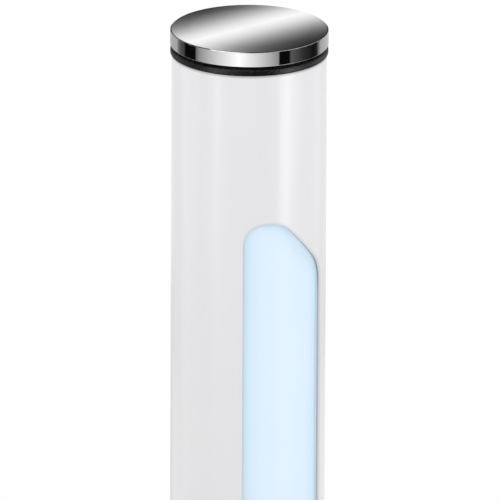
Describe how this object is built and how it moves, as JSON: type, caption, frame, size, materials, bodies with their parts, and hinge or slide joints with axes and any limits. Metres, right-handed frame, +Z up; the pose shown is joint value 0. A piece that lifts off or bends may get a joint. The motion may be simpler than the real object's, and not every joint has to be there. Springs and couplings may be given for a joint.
{
  "type": "touch floor lamp",
  "caption": "Slim round column floor lamp with a tall glowing side window, a chrome press cap on top as its touch button, and a round weighted base.",
  "frame": {"origin": "middle of the round base, on the floor plane that the foam pad stands on", "axes": "+Z up along the column; -Y is the front, where the light window's middle line is; the supply lead's gland is at the back, +Y"},
  "size_m": [0.25, 0.2512, 1.2],
  "materials": {
    "chrome": "polished mirror chrome",
    "white_lacquer": "smooth gloss white lacquer",
    "opal": "satin opal plastic, lit a pale light blue",
    "rubber_black": "satin black rubber",
    "black_plastic": "black moulded plastic",
    "grey_plastic": "grey moulded plastic",
    "bare_aluminium": "bare extruded or turned aluminium",
    "zinc_steel": "bright zinc plated steel",
    "spring_steel": "drawn spring steel",
    "switch_black": "moulded black",
    "switch_white": "moulded white",
    "connector_white": "natural nylon",
    "board_green": "green solder mask over glass fibre",
    "board_white": "white solder mask on aluminium",
    "led_yellow": "yellow phosphor under clear resin",
    "reflector_white": "matt white coated aluminium sheet",
    "lead_grey": "grey flexible sheath",
    "coil_copper": "enamelled copper winding on ferrite",
    "capacitor_black": "sleeved can",
    "terminal_green": "green moulded terminal",
    "cast_grey": "as cast, primed dark grey",
    "foam_black": "black closed-cell foam"
  },
  "bodies": {
    "lamp_body": {"return_springs": "spring_steel", "touch_switch": "switch_black", "touch_board": "board_green", "touch_board_screws": "zinc_steel", "touch_plug": "connector_white", "touch_chip": "switch_black", "cap_ring": "rubber_black", "head_collar": "black_plastic", "head_plate": "bare_aluminium", "head_plate_screws": "zinc_steel", "core_screws_top": "zinc_steel", "column_tube": "white_lacquer", "diffuser_tube": "opal", "diffuser_ring_top": "grey_plastic", "diffuser_ring_bottom": "grey_plastic", "diffuser_ring_screws": "zinc_steel", "core_profile": "bare_aluminium", "led_board_top": "board_white", "led_chips_top": "led_yellow", "led_board_middle": "board_white", "led_chips_middle": "led_yellow", "led_board_bottom": "board_white", "led_chips_bottom": "led_yellow", "led_board_links": "connector_white", "led_board_screws": "zinc_steel", "reflector_left": "reflector_white", "reflector_right": "reflector_white", "reflector_rivets": "bare_aluminium", "led_plug": "connector_white", "led_lead": "lead_grey", "driver_board": "board_green", "driver_standoffs": "connector_white", "driver_screws": "zinc_steel", "driver_coil": "coil_copper", "driver_capacitors": "capacitor_black", "driver_plugs": "connector_white", "supply_terminal": "terminal_green", "touch_lead": "lead_grey", "base_plug": "bare_aluminium", "core_screws_foot": "zinc_steel", "foot_ring": "chrome", "base_cover": "white_lacquer", "base_weight": "cast_grey", "base_washers": "zinc_steel", "base_screws": "zinc_steel", "floor_pad": "foam_black", "lead_gland": "rubber_black"},
    "cap": {"touch_cap": "chrome", "cap_carrier": "black_plastic", "cap_screws": "zinc_steel"},
    "plunger": {"switch_plunger": "switch_white"}
  },
  "joints": [
    {"name": "cap_press", "type": "slide", "parent": "lamp_body", "child": "cap", "axis": [0, 0, -1], "range_m": [0, 0.0008], "stiffness_N_per_m": 1550, "springref_m": -0.00106, "deforming": ["return_springs"]},
    {"name": "plunger_slide", "type": "slide", "parent": "lamp_body", "child": "plunger", "axis": [0, 0, -1], "range_m": [0, 0.0008]}
  ],
  "couplings": [
    {"joint": "plunger_slide", "follows": "cap_press", "ratio": 1}
  ]
}
